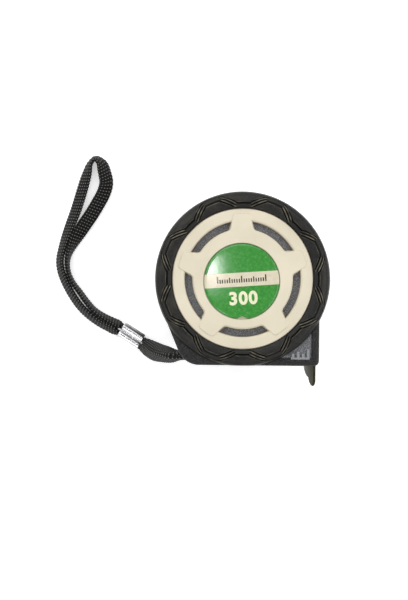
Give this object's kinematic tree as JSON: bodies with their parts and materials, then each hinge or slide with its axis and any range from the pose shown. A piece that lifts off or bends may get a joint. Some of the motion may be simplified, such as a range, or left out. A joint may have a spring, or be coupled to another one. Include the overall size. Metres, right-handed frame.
{
  "type": "tape measure",
  "caption": "Round pocket tape measure with a spring-return steel blade, end hook, belt clip and braided wrist strap.",
  "frame": {"origin": "on the outer face of the belt clip, under the drum's axis, with the case lying on its back", "axes": "+Z out of the label face along the drum's axis, +X the way the blade is pulled, -Y out of the case's flat base"},
  "size_m": [0.106, 0.0898, 0.0375],
  "materials": {
    "case_plastic": "fine-grained moulded dark grey plastic",
    "bumper": "satin black moulded tread",
    "disc_plastic": "satin cream moulded plastic",
    "label": "glossy green film with a cream band and plain marks",
    "reel_plastic": "moulded natural white plastic",
    "blade_steel": "yellow lacquered spring steel with dark graduations",
    "spring_steel": "blued spring steel",
    "bright_steel": "bright nickel-plated steel",
    "hook_steel": "pressed zinc-plated steel",
    "strap_braid": "flat black braided polyester cord"
  },
  "bodies": {
    "case": {"front_shell": "case_plastic", "rear_shell": "case_plastic", "front_bumper_ring": "bumper", "rear_bumper_ring": "bumper", "front_disc": "disc_plastic", "rear_disc": "disc_plastic", "front_label": "label", "belt_clip": "bright_steel", "belt_clip_screw": "bright_steel", "case_screw_1": "spring_steel", "case_screw_2": "spring_steel", "case_screw_3": "spring_steel", "case_screw_4": "spring_steel", "strap_pin": "spring_steel", "spring_spindle": "spring_steel", "power_spring": "spring_steel", "strap_tail_lower": "strap_braid", "strap_loop": "strap_braid", "strap_tail_upper": "strap_braid", "strap_ferrule": "bright_steel"},
    "reel": {"reel_drum": "reel_plastic", "reel_cap": "reel_plastic", "blade_coil": "blade_steel"},
    "blade": {"blade_lead": "blade_steel", "hook_rivet_1": "bright_steel", "hook_rivet_2": "bright_steel"},
    "hook": {"end_hook": "hook_steel"}
  },
  "joints": [
    {"name": "drum_spin", "type": "hinge", "parent": "case", "child": "reel", "pos_m": [0, 0, 0.0212], "axis": [0, 0, 1], "range_deg": [0, 7725], "stiffness_Nm_per_rad": 0.00015, "springref_deg": -7448.45},
    {"name": "blade_pull", "type": "slide", "parent": "case", "child": "blade", "axis": [1, 0, 0], "range_m": [0, 3]},
    {"name": "hook_float", "type": "slide", "parent": "blade", "child": "hook", "axis": [1, 0, 0], "range_m": [0, 0.001]}
  ],
  "couplings": [
    {"joint": "blade_pull", "follows": "drum_spin", "m_per_rad": 0.02225}
  ]
}
